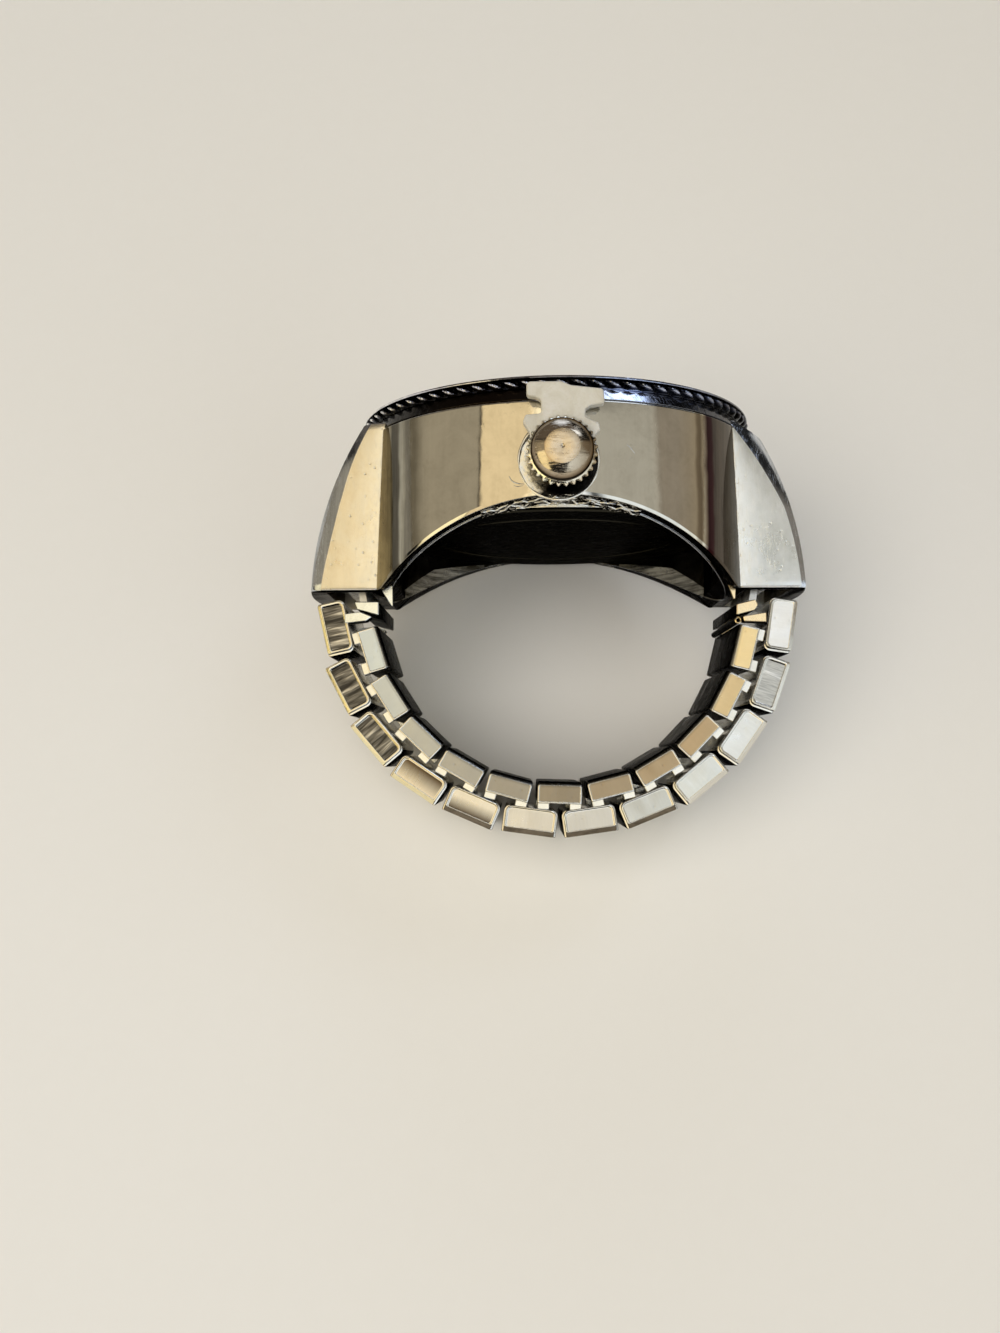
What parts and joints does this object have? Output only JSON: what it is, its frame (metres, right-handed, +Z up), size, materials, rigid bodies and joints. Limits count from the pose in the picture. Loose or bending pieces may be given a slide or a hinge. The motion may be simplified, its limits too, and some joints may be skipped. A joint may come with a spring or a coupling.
{
  "type": "finger ring watch",
  "caption": "Finger ring watch: round case with broad lugs and an arch for the finger, on an expansion band, crown out on a stopper.",
  "frame": {"origin": "bottom centre of the ring's box as it lies on its side: under the middle of the box, on the surface that it rests on", "axes": "+Z up, +X from the left lug to the right lug, +Y towards the dial. The ring lies on the side away from the crown, so the finger axis leans 21.1 degrees from +Z towards -Y at the crown side, and the dial faces +Y and a little up"},
  "size_m": [0.0268, 0.0262, 0.0225],
  "materials": {
    "case_plate": "bright plating over a cast case",
    "back_steel": "pressed steel back",
    "movement_plastic": "plain moulded block",
    "dial_paint": "satin paint",
    "marker_print": "raised print",
    "hand_black": "gloss black",
    "second_hand_red": "gloss red",
    "crystal_glass": "clear mineral glass",
    "bezel_plate": "bright plating, dark in the hollows",
    "crown_plate": "bright plating",
    "stopper_plastic": "cream plastic",
    "bar_steel": "turned steel",
    "hook_plate": "bright plating",
    "clip_steel": "bent strip",
    "outer_link_plate": "bright plating with fine brushing across",
    "inner_link_steel": "satin"
  },
  "bodies": {
    "watch": {"case": "case_plate", "case_back": "back_steel", "movement": "movement_plastic", "dial": "dial_paint", "hour_markers": "marker_print", "crystal": "crystal_glass", "bezel": "bezel_plate", "crown_stopper": "stopper_plastic", "spring_bar_left": "bar_steel", "spring_bar_right": "bar_steel", "end_hook_left": "hook_plate", "end_hook_right": "hook_plate", "link_clips_near": "clip_steel", "link_clips_far": "clip_steel", "outer_link_01": "outer_link_plate", "outer_link_02": "outer_link_plate", "outer_link_03": "outer_link_plate", "outer_link_04": "outer_link_plate", "outer_link_05": "outer_link_plate", "outer_link_06": "outer_link_plate", "outer_link_07": "outer_link_plate", "outer_link_08": "outer_link_plate", "outer_link_09": "outer_link_plate", "outer_link_10": "outer_link_plate", "outer_link_11": "outer_link_plate", "outer_link_12": "outer_link_plate", "inner_link_01": "inner_link_steel", "inner_link_02": "inner_link_steel", "inner_link_03": "inner_link_steel", "inner_link_04": "inner_link_steel", "inner_link_05": "inner_link_steel", "inner_link_06": "inner_link_steel", "inner_link_07": "inner_link_steel", "inner_link_08": "inner_link_steel", "inner_link_09": "inner_link_steel", "inner_link_10": "inner_link_steel", "inner_link_11": "inner_link_steel"},
    "crown": {"crown": "crown_plate"},
    "minute_hand": {"minute_hand": "hand_black"},
    "hour_hand": {"hour_hand": "hand_black"},
    "second_hand": {"second_hand": "second_hand_red"}
  },
  "joints": [
    {"name": "crown_turn", "type": "hinge", "parent": "watch", "child": "crown", "pos_m": [0, 0.00167, 0.02073], "axis": [0, -0.3598, 0.933], "continuous": true},
    {"name": "minute_turn", "type": "hinge", "parent": "watch", "child": "minute_hand", "pos_m": [0, 0.00802, 0.01138], "axis": [0, 0.933, 0.3598], "continuous": true},
    {"name": "hour_turn", "type": "hinge", "parent": "watch", "child": "hour_hand", "pos_m": [0, 0.0078, 0.0113], "axis": [0, 0.933, 0.3598], "continuous": true},
    {"name": "second_turn", "type": "hinge", "parent": "watch", "child": "second_hand", "pos_m": [0, 0.0082, 0.01146], "axis": [0, 0.933, 0.3598], "continuous": true}
  ],
  "couplings": [
    {"joint": "minute_turn", "follows": "crown_turn", "ratio": 0.33333},
    {"joint": "hour_turn", "follows": "crown_turn", "ratio": 0.027778}
  ]
}
